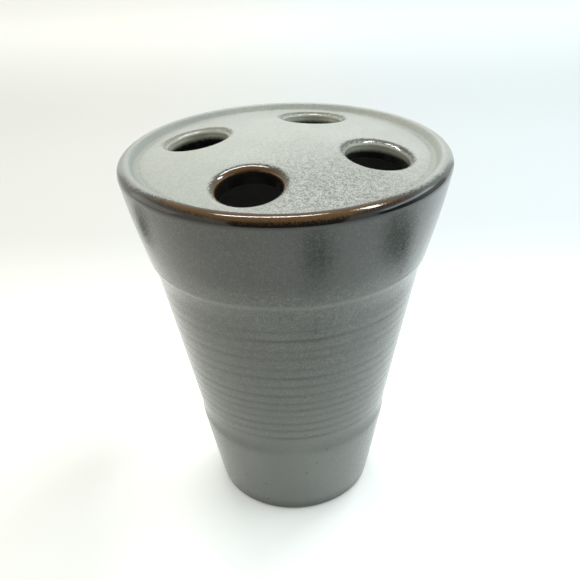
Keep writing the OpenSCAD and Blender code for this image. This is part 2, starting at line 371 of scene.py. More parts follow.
top = raise_tube("top_skin", top_place, sides=SIDES, rings=84)
pick(top)
bpy.ops.object.mode_set(mode="EDIT")
bpy.ops.mesh.select_all(action="SELECT")
bpy.ops.mesh.remove_doubles(threshold=MERGE)
bpy.ops.mesh.normals_make_consistent(inside=False)
bpy.ops.object.mode_set(mode="OBJECT")
level = [face.normal.z for face in top.data.polygons]
if sum(level) < 0:
    top.data.flip_normals()
give_thickness(top, GLAZE_T)
print("top skin", len(top.data.polygons), "faces, normals up:", sum(level) > 0)

# %% Cones that cut the holes square to the dome
ROUND_U = HOLE_R + ROUND_R
FLARE_U = ROUND_U + (FLARE_R - ROUND_R) * math.sin(FLARE_TILT)
FLARE_W = math.sqrt((DOME_BALL_R - FLARE_R) ** 2 - FLARE_U**2)
ROUND_W = FLARE_W + (FLARE_R - ROUND_R) * math.cos(FLARE_TILT)
EDGE_ANGLE = math.asin(FLARE_U / (DOME_BALL_R - FLARE_R))
CONE_H = (DOME_BALL_R + 2) * MM


def hole_turn(i):
    """Turns a thing that points up from the ball's centre to hole i."""
    tilt = math.asin(HOLE_CIRCLE * HOLE_SHARES[i] / DOME_BALL_R)
    turn = math.radians(FIRST_HOLE + 90 * i)
    return Matrix.Rotation(turn, 4, "Z") @ Matrix.Rotation(tilt, 4, "Y")


for i in range(4):
    start_alone()
    bpy.ops.mesh.primitive_cone_add(
        vertices=128, radius1=0, radius2=CONE_H * math.tan(EDGE_ANGLE), depth=CONE_H,
        location=(0, 0, CONE_H / 2))
    cone = bpy.context.object
    bpy.ops.object.transform_apply(location=True, rotation=False, scale=False)
    cone.data.transform(Matrix.Translation((0, 0, DOME_CENTRE_Z * MM)) @ hole_turn(i))
    bpy.context.view_layer.objects.active = top
    cut = top.modifiers.new("hole", "BOOLEAN")
    cut.operation, cut.solver, cut.object = "DIFFERENCE", "EXACT", cone
    bpy.ops.object.modifier_apply(modifier=cut.name)
    bpy.data.objects.remove(cone)
finish_piece(top, "top_glaze")

# %% [markdown]
# ## The rounded edges of the holes
# Each hole opens into a soft edge in two arcs: a gentle one that leaves the
# dome and a tight one that ends at the straight wall. A bevel on the cut
# would give one arc only, so a tube follows both and, as thin glaze does,
# runs on down the wall to the underside.

# %% Four rounded hole edges
RUN_SKIN, RUN_EASE, RUN_PAST = 0.2, 4, 0.04
LOW_BALL_R = DOME_BALL_R - GLAZE_T - PLATE_T
HOLE_LOW_W = math.sqrt(LOW_BALL_R**2 - HOLE_R**2) - RUN_PAST
WALL_SHARE, ROUND_SHARE = 0.3, 0.3
FLARE_SHARE = 1 - WALL_SHARE - ROUND_SHARE
hole_edges = []


def edge_place(share, direction):
    """Share 1 is where the edge meets the dome and share 0 the underside."""
    if share < WALL_SHARE:
        t = share / WALL_SHARE
        run = RUN_SKIN * min(1, RUN_EASE * (1 - t))
        return ring_of(HOLE_R - run, mix(HOLE_LOW_W, ROUND_W, t), direction)
    if share < WALL_SHARE + ROUND_SHARE:
        tilt = mix(math.pi / 2, FLARE_TILT, (share - WALL_SHARE) / ROUND_SHARE)
        return ring_of(ROUND_U - ROUND_R * math.sin(tilt), ROUND_W + ROUND_R * math.cos(tilt), direction)
    tilt = mix(FLARE_TILT, -EDGE_ANGLE, (share - WALL_SHARE - ROUND_SHARE) / FLARE_SHARE)
    return ring_of(FLARE_U - FLARE_R * math.sin(tilt), FLARE_W + FLARE_R * math.cos(tilt), direction)


for i in range(4):
    edge = raise_tube("hole_edge_skin_%d" % (i + 1), edge_place, sides=96, rings=40)
    edge.data.flip_normals()
    edge.data.transform(Matrix.Translation((0, 0, DOME_CENTRE_Z * MM)) @ hole_turn(i))
    give_thickness(edge, EDGE_SKIN_T)
    finish_piece(edge, "hole_edge_glaze")
    hole_edges.append(edge)

# %% [markdown]
# ## What the finishes share
# One glaze covers the whole holder, so its marks are made once, as node
# groups, and every finish places them with its own values. Clouds are the
# slow changes of tone. Crystals are the fine pale and dark grains of a satin
# glaze, a fraction of a millimetre wide. A picture of a glaze could be laid
# on instead, but it would stretch on the dome and show its edges. These
# patterns read Object coordinates, which are metres here, so the grain has
# its true size everywhere.

# %% Helpers for node groups
def new_group(name, inputs, outputs):
    """A shader node group, its input node and its output node."""
    group = bpy.data.node_groups.new(name, "ShaderNodeTree")
    for label, kind, value in inputs:
        socket = group.interface.new_socket(label, in_out="INPUT", socket_type=kind)
        if value is not None:
            socket.default_value = value
    for label, kind in outputs:
        group.interface.new_socket(label, in_out="OUTPUT", socket_type=kind)
    return group, group.nodes.new("NodeGroupInput"), group.nodes.new("NodeGroupOutput")


def masks(*labels):
    """Outputs that are plain numbers."""
    return [(label, "NodeSocketFloat") for label in labels]


def put_out(group, outside, results):
    """Each result goes to the group's output of that name."""
    for label, socket in results.items():
        group.links.new(socket, outside.inputs[label])
    print("node group", group.name, "puts out", ", ".join(results))


print("helpers for node groups are ready")

# %% Helpers for sums
def calculate(tree, operation, *values):
    """A Math node. A value is a number or a socket."""
    node = tree.nodes.new("ShaderNodeMath")
    node.operation = operation
    for slot, value in enumerate(values):
        if isinstance(value, (int, float)):
            node.inputs[slot].default_value = value
        else:
            tree.links.new(value, node.inputs[slot])
    return node.outputs[0]


def plus(tree, first, second):
    return calculate(tree, "ADD", first, second)


def minus(tree, first, second):
    return calculate(tree, "SUBTRACT", first, second)


def times(tree, first, second):
    return calculate(tree, "MULTIPLY", first, second)


def times_plus(tree, value, factor, base):
    return calculate(tree, "MULTIPLY_ADD", value, factor, base)


def smooth_step(tree, value, low, high):
    """0 below low, 1 above high, and soft between them."""
    node = tree.nodes.new("ShaderNodeMapRange")
    node.interpolation_type = "SMOOTHSTEP"
    tree.links.new(value, node.inputs["Value"])
    node.inputs["From Min"].default_value = low
    node.inputs["From Max"].default_value = high
    return node.outputs["Result"]


def fade(tree, value, low, high):
    """1 below low and 0 above high."""
    return minus(tree, 1.0, smooth_step(tree, value, low, high))


def line_at(tree, value, at, core, edge):
    """1 where the value is near a place, and 0 from a distance on both sides."""
    off = calculate(tree, "ABSOLUTE", minus(tree, value, at))
    return fade(tree, off, core, edge)


print("helpers for sums are ready")

# %% Helpers for noise and colours
def noise(tree, vector, scale, detail, rough):
    node = tree.nodes.new("ShaderNodeTexNoise")
    node.inputs["Scale"].default_value = scale
    node.inputs["Detail"].default_value = detail
    node.inputs["Roughness"].default_value = rough
    tree.links.new(vector, node.inputs["Vector"])
    return node.outputs["Fac"]


def mixed_colour(tree, share, first, second):
    """A Mix node for colours. Each colour is a socket or three numbers."""
    node = tree.nodes.new("ShaderNodeMix")
    node.data_type = "RGBA"
    tree.links.new(share, node.inputs["Factor"])
    for name, colour in (("A", first), ("B", second)):
        socket = [s for s in node.inputs if s.name == name and s.type == "RGBA"][0]
        if isinstance(colour, tuple):
            socket.default_value = (*colour, 1)
        else:
            tree.links.new(colour, socket)
    return [s for s in node.outputs if s.type == "RGBA"][0]


def tint(tree, colour, mask, strength, towards):
    """The colour is drawn towards another one where a mask is."""
    return mixed_colour(tree, times(tree, mask, strength), colour, towards)


print("helpers for colours are ready")

# %% The grain of the glaze
# A noise is its cells per metre, its detail and its roughness. Specks are
# their cells per metre, their size and the share of the cells that have one.
CLOUD_NOISE, SKIN_NOISE = (60, 3, 0.55), (260, 2, 0.5)
MIDDLING_NOISE, FINE_NOISE = (900, 3, 0.6), (2900, 2, 0.6)
CLOUD_RANGE, CRYSTAL_RANGE = (0.3, 0.7), (0.36, 0.64)
SPECKS = {"Pale specks": (420, 0.2, 0.1), "Dark specks": (330, 0.22, 0.12)}


def specks(group, vector, scale, size, share):
    """Small round spots in a few of the cells of a Voronoi pattern."""
    cells = group.nodes.new("ShaderNodeTexVoronoi")
    cells.inputs["Scale"].default_value = scale
    group.links.new(vector, cells.inputs["Vector"])
    drawn = group.nodes.new("ShaderNodeSeparateColor")
    group.links.new(cells.outputs["Color"], drawn.inputs[0])
    chosen = calculate(group, "LESS_THAN", drawn.outputs[0], share)
    return times(group, fade(group, cells.outputs["Distance"], size * 0.5, size), chosen)


def seven_to_three(group, first, second):
    """A blend of seven parts of one value and three of another."""
    return plus(group, times(group, first, 0.7), times(group, second, 0.3))


def make_grain_group():
    group, inside, outside = new_group(
        "glaze_grain", [("Vector", "NodeSocketVector", None)],
        masks("Clouds", "Crystals", "Pale specks", "Dark specks", "Skin"))
    vector = inside.outputs["Vector"]
    fine = noise(group, vector, *FINE_NOISE)
    crystals = seven_to_three(group, fine, noise(group, vector, *MIDDLING_NOISE))
    results = {
        "Clouds": smooth_step(group, noise(group, vector, *CLOUD_NOISE), *CLOUD_RANGE),
        "Crystals": smooth_step(group, crystals, *CRYSTAL_RANGE),
        "Skin": seven_to_three(group, noise(group, vector, *SKIN_NOISE), fine)}
    for label, (scale, size, share) in SPECKS.items():
        results[label] = specks(group, vector, scale, size, share)
    put_out(group, outside, results)
    return group


grain_group = make_grain_group()

# %% [markdown]
# ## Where the glaze breaks
# A glaze runs off a sharp edge while it is molten. The thinner it gets there,
# the more it changes: from the pale satin of level ground through a dark
# bluish line to a glossy bronze brown that is nearly black. It could be
# painted on by hand, but the place alone says how thin the glaze ran. On the
# rim that is the angle round its roll. The bronze is strong in front, comes
# later towards the sides, and reaches a little further in on the right.

# %% How far the glaze has broken on the rim
# Fades are angles from the front, in degrees, and zones are in metres.
FRONT_SHIFT, FRONT_FADE = 4, (40, 58)
LATER_ASIDE, ASIDE_FADE, LATER_BEHIND, BEHIND_FADE = 0.5, (30, 60), 0.8, (60, 92)
SPREAD_ON_RIGHT, SPREAD_END, RIGHT_FADE = 0.13, (70, 95), (0, 30)
DEEP_SOONER, SOONER_FADE = 0.22, (14, 40)
LEFT_ZONE, RIGHT_ZONE, OLIVE_ZONE = (0.004, 0.03), (0.01, 0.036), (-0.016, 0.002)


def over_angles(group, angle, low, high):
    """A smooth step between two angles, which are given in degrees."""
    return smooth_step(group, angle, math.radians(low), math.radians(high))


def split(tree, vector):
    """The X, Y and Z of a vector."""
    node = tree.nodes.new("ShaderNodeSeparateXYZ")
    tree.links.new(vector, node.inputs[0])
    return node.outputs["X"], node.outputs["Y"], node.outputs["Z"]


def round_the_roll(group, x, y, z):
    """Distance from the holder's axis, and the turn round the roll: 0 is its crest."""
    square = plus(group, calculate(group, "POWER", x, 2), calculate(group, "POWER", y, 2))
    across = calculate(group, "SQRT", square)
    out = calculate(group, "DIVIDE", minus(group, across, CREST_R * MM), ROLL_W * MM)
    rise = calculate(group, "DIVIDE", minus(group, z, ROLL_Z * MM), ROLL_H * MM)
    return across, calculate(group, "DIVIDE", calculate(group, "ARCTAN2", out, rise), math.pi / 2)


def rim_break(group, roll, aside, off_front):
    """0 is where the break starts. It is later aside, and sooner to the right."""
    later = plus(group, times(group, over_angles(group, off_front, *ASIDE_FADE), LATER_ASIDE),
                 times(group, over_angles(group, off_front, *BEHIND_FADE), LATER_BEHIND))
    spread = minus(group, over_angles(group, off_front, *FRONT_FADE),
                   over_angles(group, off_front, *SPREAD_END))
    spread = times(group, times(group, spread, SPREAD_ON_RIGHT), over_angles(group, aside, *RIGHT_FADE))
    return plus(group, minus(group, roll, later), spread)


def rim_masks(group, vector):
    """Every mask that depends on the place on the rim."""
    x, y, z = split(group, vector)
    across, roll = round_the_roll(group, x, y, z)
    aside = calculate(group, "ARCTAN2", x, times(group, y, -1.0))
    off_front = calculate(group, "ABSOLUTE", plus(group, aside, math.radians(FRONT_SHIFT)))
    return {
        "Across": across, "Roll": roll, "Behind": y,
        "Left": smooth_step(group, times(group, x, -1.0), *LEFT_ZONE),
        "Right": smooth_step(group, x, *RIGHT_ZONE),
        "Front": minus(group, 1.0, over_angles(group, off_front, *FRONT_FADE)),
        "Olive": smooth_step(group, y, *OLIVE_ZONE),
        "Rim": rim_break(group, roll, aside, off_front),
        "Deep": times_plus(group, over_angles(group, off_front, *SOONER_FADE), DEEP_SOONER, roll)}


print("the bronze fades between", *FRONT_FADE, "degrees from the front")

# %% [markdown]
# ## The break round each hole
# At a hole the glaze thins on the soft edge, and it starts to sooner on the hole's far side. How far it
# has thinned is the tilt of the edge's two arcs, and that follows from the distance to the hole's axis:
# the length of the cross product of the way from the ball's centre with the direction of the hole. Below
# the edge the colour goes on darkening down the wall, which is painted shade inside the hole. A ring mask
# painted for each hole would do the same, but the sums serve all four and stay exact.

# %% How far the glaze has broken at the holes
HOLE_START, FAR_SOONER, HOLE_SHADE_DEPTH, STEEP = 0.25, 0.18, 1.3, 0.5


def vector_math(tree, operation, first, second=(0, 0, 0)):
    """A Vector Math node. The first vector is a socket, the second three numbers."""
    node = tree.nodes.new("ShaderNodeVectorMath")
    node.operation = operation
    tree.links.new(first, node.inputs[0])
    node.inputs[1].default_value = second
    one_number = operation in ("DISTANCE", "DOT_PRODUCT", "LENGTH")
    return node.outputs["Value" if one_number else "Vector"]


def clamped(tree, value):
    """The value, kept between -1 and 1."""
    return calculate(tree, "MINIMUM", calculate(tree, "MAXIMUM", value, -1.0), 1.0)


def hole_break(group, vector, i):
    """0 is where the break starts round hole i."""
    axis = hole_turn(i) @ Vector((0, 0, 1))
    way = vector_math(group, "SUBTRACT", vector, (0, 0, DOME_CENTRE_Z * MM))
    cross = vector_math(group, "CROSS_PRODUCT", way, axis)
    from_axis = vector_math(group, "LENGTH", cross)
    along = vector_math(group, "DOT_PRODUCT", way, axis)
    tilts = []
    for centre_u, arc_r in ((FLARE_U, FLARE_R), (ROUND_U, ROUND_R)):
        off = minus(group, centre_u * MM, from_axis)
        share = calculate(group, "DIVIDE", off, arc_r * MM)
        tilts.append(calculate(group, "ARCSINE", clamped(group, share)))
    tilt = calculate(group, "DIVIDE", calculate(group, "MAXIMUM", *tilts), math.pi / 2)
    # Below the round the colour darkens with depth: painted shade inside the hole.
    below = minus(group, ROUND_W * MM, along)
    depth = calculate(group, "MAXIMUM", calculate(group, "DIVIDE", below, HOLE_SHADE_DEPTH * MM), 0.0)
    depth = times(group, depth, calculate(group, "GREATER_THAN", tilt, STEEP))
    away = times(group, split(group, cross)[0], 1 / (FLARE_U * MM))
    start = minus(group, HOLE_START, times(group, clamped(group, away), FAR_SOONER))
    return plus(group, minus(group, tilt, start), depth)


def make_break_group():
    group, inside, outside = new_group(
        "glaze_break", [("Vector", "NodeSocketVector", None)],
        masks("Rim", "Holes", "Front", "Olive", "Across", "Roll", "Deep", "Left", "Right", "Behind"))
    results = rim_masks(group, inside.outputs["Vector"])
    furthest = hole_break(group, inside.outputs["Vector"], 0)
    for i in range(1, 4):
        one = hole_break(group, inside.outputs["Vector"], i)
        furthest = calculate(group, "MAXIMUM", furthest, one)
    results["Holes"] = furthest
    put_out(group, outside, results)
    return group


break_group = make_break_group()

# %% [markdown]
# ## The colours that a breaking glaze runs through
# The break is a ramp: glaze, dark line, bronze, black. A single Color Ramp node could hold it, but the
# holder's sides differ. In front the bronze is warm, and its black is partly painted shade under the roll
# and a painted reflection of the dark room in front; down inside the holes the black is painted shade.
# Aside the bronze and black are a paler grey, which is painted shade on the pale glaze. Behind it stays a
# pale olive, partly a painted reflection on the far walls of the back holes, with only a faint line,
# fainter still on the left. Crystals make every border wander.

# %% The broken colours
DARK_LINE, FAINT_LINE, FAINT_LINE_LEFT = (0.06, 0.066, 0.064), (0.07, 0.074, 0.064), (0.17, 0.176, 0.15)
# Aside, the bronze and black zones are a paler grey: painted shade on the pale glaze. Behind, the pale
# olive is partly a painted reflection on the far walls of the back holes, which is also why the black
# comes later there.
BRONZE, BRONZE_ZONE_SHADE_ASIDE, BRONZE_AND_SHEEN_BEHIND = (0.094, 0.047, 0.011), (0.062, 0.06, 0.05), (0.36, 0.365, 0.29)
# The black is partly painted shade under the roll and a painted reflection of the dark room in front;
# down inside the holes it is painted shade.
BLACK_AND_SHADE, BLACK_AND_SHADE_ASIDE, BLACK_AND_SHADE_BEHIND = (0.012, 0.0105, 0.009), (0.07, 0.07, 0.062), (0.008, 0.009, 0.008)
WANDER, LINE_ZONE, BRONZE_ZONE, GLOSS_ZONE = 0.26, (-0.15, -0.01), (0.02, 0.14), (-0.16, 0.0)
BEHIND_LINE_SOONER, BEHIND_BRONZE_LATER = 0.05, -0.08
BLACK_START, BLACK_SPAN, BEHIND_BLACK_LATER, BEHIND_BLACK_LONGER = 0.46, 0.3, 0.7, 0.75
BREAK_INPUTS = {"Broken": 0.0, "Crystals": 0.5, "Olive": 0.0, "Front": 1.0, "Deep": 0.0, "Left": 0.0}


def three_ways(group, aside, olive, front, side, behind):
    """One of the broken colours: in front, aside and behind."""
    return mixed_colour(group, olive, mixed_colour(group, aside, front, side), behind)


def make_broken_colour_group():
    group, inside, outside = new_group(
        "broken_glaze",
        [("Glaze", "NodeSocketColor", (0.5, 0.5, 0.5, 1))] + [
            (label, "NodeSocketFloat", value) for label, value in BREAK_INPUTS.items()],
        [("Color", "NodeSocketColor"), ("Gloss", "NodeSocketFloat")])
    olive = inside.outputs["Olive"]
    wander = times(group, minus(group, inside.outputs["Crystals"], 0.5), WANDER)
    broken = plus(group, inside.outputs["Broken"], wander)
    aside = minus(group, 1.0, inside.outputs["Front"])
    lined = smooth_step(group, times_plus(group, olive, BEHIND_LINE_SOONER, broken), *LINE_ZONE)
    bronzed = smooth_step(group, times_plus(group, olive, BEHIND_BRONZE_LATER, broken), *BRONZE_ZONE)
    past = minus(group, plus(group, inside.outputs["Deep"], wander),
                 times_plus(group, olive, BEHIND_BLACK_LATER, BLACK_START))
    past = calculate(group, "DIVIDE", past, times_plus(group, olive, BEHIND_BLACK_LONGER, BLACK_SPAN))
    faint = mixed_colour(group, inside.outputs["Left"], FAINT_LINE, FAINT_LINE_LEFT)
    line = mixed_colour(group, olive, DARK_LINE, faint)
    brown = three_ways(group, aside, olive, BRONZE, BRONZE_ZONE_SHADE_ASIDE, BRONZE_AND_SHEEN_BEHIND)
    black = three_ways(group, aside, olive, BLACK_AND_SHADE, BLACK_AND_SHADE_ASIDE, BLACK_AND_SHADE_BEHIND)
    colour = mixed_colour(group, lined, inside.outputs["Glaze"], line)
    colour = mixed_colour(group, bronzed, colour, brown)
    colour = mixed_colour(group, smooth_step(group, past, 0.0, 1.0), colour, black)
    put_out(group, outside, {"Color": colour, "Gloss": smooth_step(group, broken, *GLOSS_ZONE)})
    return group


broken_group = make_broken_colour_group()

# %% [markdown]
# ## The parts of a finish
# Every finish here has the same parts: a Principled shader, the point's
# Object coordinates, the shared groups, and a little relief from a Bump node,
# because the skin of a glaze is never quite smooth. Real relief that fine
# would need millions of faces, and a bump gives the same soft sheen.

# %% Helpers for materials
def new_material(name):
    """A material with its Principled shader, and the point's Object coordinates."""
    material = bpy.data.materials.new(name)
    material.use_nodes = True
    tree = material.node_tree
    shader = tree.nodes["Principled BSDF"]
    vector = tree.nodes.new("ShaderNodeTexCoord").outputs["Object"]
    return material, tree, shader, vector


def place_group(tree, group, **inputs):
    node = tree.nodes.new("ShaderNodeGroup")
    node.node_tree = group
    for name, value in inputs.items():
        tree.links.new(value, node.inputs[name])
    return node.outputs


def dress(tree, shader, colour, rough, height, relief):
    """The shader takes its colour, its roughness and a little relief."""
    tree.links.new(colour, shader.inputs["Base Color"])
    tree.links.new(rough, shader.inputs["Roughness"])
    bump = tree.nodes.new("ShaderNodeBump")
    bump.inputs["Strength"].default_value = 1.0
    bump.inputs["Distance"].default_value = relief
    tree.links.new(height, bump.inputs["Height"])
    tree.links.new(bump.outputs["Normal"], shader.inputs["Normal"])


def paint(piece, material):
    piece.data.materials.clear()
    piece.data.materials.append(material)
    print(piece.name, "has the finish", material.name)


print("helpers for materials are ready")

# %% [markdown]
# ## The tone of the wall
# Down the wall the tone changes: nearly black grey under the rim, which is painted shade, a mid grey over
# the rings, and paler towards the foot, which is painted light from the white table below. The foot's
# edge is dark again, partly thin glaze and partly painted contact shade, and the crest of the ridge
# carries a thin painted highlight.
# One colour ramp up the wall would be simpler, but each of these changes has
# its own place and strength. The rim's skin ends on the wall, so the tone is
# a group that both finishes place, and no seam shows.

# %% The tone of the wall, which the rim shares
# A tint is a strength and a colour, and a zone is two heights in metres.
# The wall's own tone is drawn far darker than the same glaze on top: that difference is painted shade.
SHADED_CLOUD_DARK, SHADED_CLOUD_LIGHT = (0.045, 0.048, 0.041), (0.069, 0.073, 0.063)
# Paler towards the foot: painted light from the white table below.
LOW_TABLE_LIGHT_TINT, LOW_TABLE_LIGHT_ZONE = (0.66, (0.285, 0.296, 0.275)), (0.006, 0.084)
# Nearly black grey under the rim: painted shade.
HIGH_SHADE_TINT, HIGH_SHADE_ZONE = (0.55, (0.018, 0.019, 0.016)), (0.083, 0.09)
# The dark foot edge: thin glaze, and painted contact shade.
FOOT_EDGE_AND_SHADE_TINT, FOOT_ZONE = (0.62, (0.04, 0.041, 0.028)), (0.0006, 0.0055)
# The pale line on the crest of the ridge: a painted highlight.
CREST_HIGHLIGHT_TINT, CREST_HIGHLIGHT_WIDTHS = (0.3, (0.26, 0.265, 0.25)), (0.2 * MM, 1.1 * MM)
CRYSTAL_TINT = (0.7, (0.17, 0.178, 0.158))
DARK_SPECK_TINT, PALE_SPECK_TINT = (0.35, (0.03, 0.028, 0.024)), (0.16, (0.34, 0.35, 0.32))
UNDER_RIM_ZONE, RIM_WANDER = ((ROLL_Z - 0.7) * MM, (ROLL_Z + 0.5) * MM), 0.5


def make_wall_tone_group():
    group, inside, outside = new_group(
        "wall_tone", [("Vector", "NodeSocketVector", None)],
        [("Color", "NodeSocketColor"), ("Under rim", "NodeSocketFloat")])
    grain = place_group(group, grain_group, Vector=inside.outputs["Vector"])
    height = split(group, inside.outputs["Vector"])[2]
    tone = mixed_colour(group, grain["Clouds"], SHADED_CLOUD_DARK, SHADED_CLOUD_LIGHT)
    tone = tint(group, tone, fade(group, height, *LOW_TABLE_LIGHT_ZONE), *LOW_TABLE_LIGHT_TINT)
    crest_highlight = line_at(group, height, CREST_LINE_Z * MM, *CREST_HIGHLIGHT_WIDTHS)
    tone = tint(group, tone, crest_highlight, *CREST_HIGHLIGHT_TINT)
    tone = tint(group, tone, grain["Crystals"], *CRYSTAL_TINT)
    tone = tint(group, tone, smooth_step(group, height, *HIGH_SHADE_ZONE), *HIGH_SHADE_TINT)
    tone = tint(group, tone, grain["Dark specks"], *DARK_SPECK_TINT)
    tone = tint(group, tone, grain["Pale specks"], *PALE_SPECK_TINT)
    tone = tint(group, tone, fade(group, height, *FOOT_ZONE), *FOOT_EDGE_AND_SHADE_TINT)
    uneven = times(group, minus(group, grain["Crystals"], 0.5), RIM_WANDER * MM)
    under_rim = smooth_step(group, plus(group, height, uneven), *UNDER_RIM_ZONE)
    put_out(group, outside, {"Color": tone, "Under rim": under_rim})
    return group


wall_tone_group = make_wall_tone_group()

# %% [markdown]
# ## The pale glaze on top, and the bronze edges
# On top the glaze lies thick. It is a pale grey green, finely grained, with more dark grain where it lies
# thinner towards the front. It is drawn a little darker in the groove round the dome, less so at the
# back, and the outer half of the rim's roll carries painted shade, most in front and on the left. The rim
# and the hole edges take the same colours, so no seam shows where one skin ends. They could be painted
# apart, but with masks that come from the place alone one finish serves the top, the rim and all four
# edges.

# %% The colours of the level glaze
PALE_CLOUD, PALEST_CLOUD = (0.458, 0.477, 0.425), (0.502, 0.522, 0.467)
DARK_GRAIN, DARK_GROOVE_TONE = (0.07, 0.074, 0.062), (0.30, 0.325, 0.295)
SHOULDER_SHADE_TONE, SHADE_BAND_TONE = (0.165, 0.178, 0.168), (0.17, 0.18, 0.163)
OUTER_TINT, OUTER_ZONE = (0.13, (0.22, 0.23, 0.20)), (0.012, 0.03)
LEVEL_SPECK_TINT, SEAM_TINT = (0.08, (0.10, 0.09, 0.07)), (0.5, (0.17, 0.18, 0.16))
THIN_AT, THIN_ZONE, LEAST_GRAIN, THIN_GRAIN = (0.012, -0.031, 0.108), (0.004, 0.036), 0.30, 0.57
# The groove round the dome is drawn darker, less so at the back.
DARK_GROOVE_R, DARK_GROOVE_W, DARK_GROOVE_STRENGTH = GROOVE_R + 0.3, 2.2, 0.4
BACK_ZONE, WEAKER_AT_BACK = (0.015, 0.038), -0.32
SEAM_R, SEAM_W = GROOVE_R - 0.9, 0.5
# The outer half of the roll, and a band inside it on the left, carry painted shade.
SHOULDER_SHADE, SHOULDER_SHADE_LEFT, SHOULDER_SHADE_RIGHT, SHOULDER_SHADE_FRONT, MOST_SHOULDER_SHADE = 0.12, 0.42, 0.3, 0.78, 0.9
SHADE_BAND_R, SHADE_BAND_STRENGTH, SHADE_BAND_WIDTHS, SHOULDER_ZONE = CREST_R - 1.0, 0.5, (0.3 * MM, 1.6 * MM), (-0.03, 0.4)


def grained_glaze(tree, vector, grain, over):
    """Pale clouds, with more dark grain where the glaze lies thin in front."""
    thin = fade(tree, vector_math(tree, "DISTANCE", vector, THIN_AT), *THIN_ZONE)
    amount = times_plus(tree, thin, THIN_GRAIN, LEAST_GRAIN)
    grained = times(tree, minus(tree, 1.0, grain["Crystals"]), amount)
    pale = mixed_colour(tree, grain["Clouds"], PALE_CLOUD, PALEST_CLOUD)
    pale = tint(tree, pale, smooth_step(tree, over["Across"], *OUTER_ZONE), *OUTER_TINT)
    glaze = mixed_colour(tree, grained, pale, DARK_GRAIN)
    return tint(tree, glaze, grain["Dark specks"], *LEVEL_SPECK_TINT)


def groove_tones(tree, glaze, grain, over):
    """A darker tone in the groove, weaker at the back, and a grained seam beside the dome."""
    dark_groove = line_at(tree, over["Across"], DARK_GROOVE_R * MM, 0.0, DARK_GROOVE_W * MM)
    back = smooth_step(tree, over["Behind"], *BACK_ZONE)
    glaze = tint(tree, glaze, dark_groove, times_plus(tree, back, WEAKER_AT_BACK, DARK_GROOVE_STRENGTH), DARK_GROOVE_TONE)
    seam = line_at(tree, over["Across"], SEAM_R * MM, 0.0, SEAM_W * MM)
    seam = times(tree, seam, minus(tree, 1.0, grain["Crystals"]))
    return tint(tree, glaze, seam, *SEAM_TINT)


def shaded_shoulder(tree, glaze, over):
    """Painted shade on the outer half of the roll, and a soft painted shade band inside it on the left.
    """
    shoulder_shade = times_plus(tree, over["Left"], SHOULDER_SHADE_LEFT, SHOULDER_SHADE)
    shoulder_shade = times_plus(tree, over["Right"], SHOULDER_SHADE_RIGHT, shoulder_shade)
    shoulder_shade = calculate(tree, "MINIMUM", times_plus(tree, over["Front"], SHOULDER_SHADE_FRONT, shoulder_shade), MOST_SHOULDER_SHADE)
    glaze = tint(tree, glaze, smooth_step(tree, over["Roll"], *SHOULDER_ZONE), shoulder_shade, SHOULDER_SHADE_TONE)
    shade_band = line_at(tree, over["Across"], SHADE_BAND_R * MM, *SHADE_BAND_WIDTHS)
    return tint(tree, glaze, shade_band, times(tree, over["Left"], SHADE_BAND_STRENGTH), SHADE_BAND_TONE)


print("dark grain from", LEAST_GRAIN, "to", round(LEAST_GRAIN + THIN_GRAIN, 2))

# %% The level glaze and the bronze edges
SATIN_LEVEL, CRYSTAL_MATT, BREAK_GLOSS = 0.36, 0.08, 0.29
HOLES_LATER, RELIEF_TOP, RELIEF_BRONZE, TO_WALL = 0.1, 0.00009, 0.00003, (0.7, 0.8)


def level_glaze(name, relief, meets_wall):
    material, tree, shader, vector = new_material(name)
    grain = place_group(tree, grain_group, Vector=vector)
    over = place_group(tree, break_group, Vector=vector)
    glaze = grained_glaze(tree, vector, grain, over)
    glaze = shaded_shoulder(tree, groove_tones(tree, glaze, grain, over), over)
    broken = calculate(tree, "MAXIMUM", over["Rim"], over["Holes"])
    deep = minus(tree, over["Holes"], HOLES_LATER)
    deep = calculate(tree, "MAXIMUM", over["Deep"], deep)
    ran_thin = place_group(
        tree, broken_group, Glaze=glaze, Broken=broken, Crystals=grain["Crystals"],
        Olive=over["Olive"], Front=over["Front"], Deep=deep, Left=over["Left"])
    colour = ran_thin["Color"]
    if meets_wall:
        below = place_group(tree, wall_tone_group, Vector=vector)
        on_wall = minus(tree, 1.0, below["Under rim"])
        on_wall = times(tree, on_wall, smooth_step(tree, over["Roll"], *TO_WALL))
        colour = mixed_colour(tree, on_wall, colour, below["Color"])
    satin = times_plus(tree, grain["Crystals"], CRYSTAL_MATT, SATIN_LEVEL)
    rough = minus(tree, satin, times(tree, ran_thin["Gloss"], BREAK_GLOSS))
    dress(tree, shader, colour, rough, grain["Skin"], relief)
    return material


paint(top, level_glaze("pale_top_glaze", relief=RELIEF_TOP, meets_wall=False))
bronze_glaze = level_glaze("bronze_edge_glaze", relief=RELIEF_BRONZE, meets_wall=True)
for piece in [rim] + hole_edges:
    paint(piece, bronze_glaze)

# %% [markdown]
# ## The glaze on the wall
# On the steep wall the same glaze as on top is drawn a much darker grey green, soft and satin: that
# difference is painted shade, as the wall gets little of the light from above. Clouds and fine grain keep
# it from looking like paint. The climbing groove is drawn darker than its depth alone would make it, from
# the mask that the wall's points carry: that is painted shade of the groove. Just under the rim, in
# front, a near-black band fades out: painted shade under the roll and a painted reflection of the dark
# room in front.

# %% The wall glaze
GROOVE_SHADE_TONE, UNDER_RIM_SHADE_TONE = (0.045, 0.046, 0.04), (0.014, 0.011, 0.009)
SATIN_WALL, UNDER_RIM_GLOSS, RELIEF_WALL = 0.2, 0.08, 0.00008
GROOVE_SHADE_STRENGTH, GROOVE_SHADE_CLOUDS = 0.35, 0.6


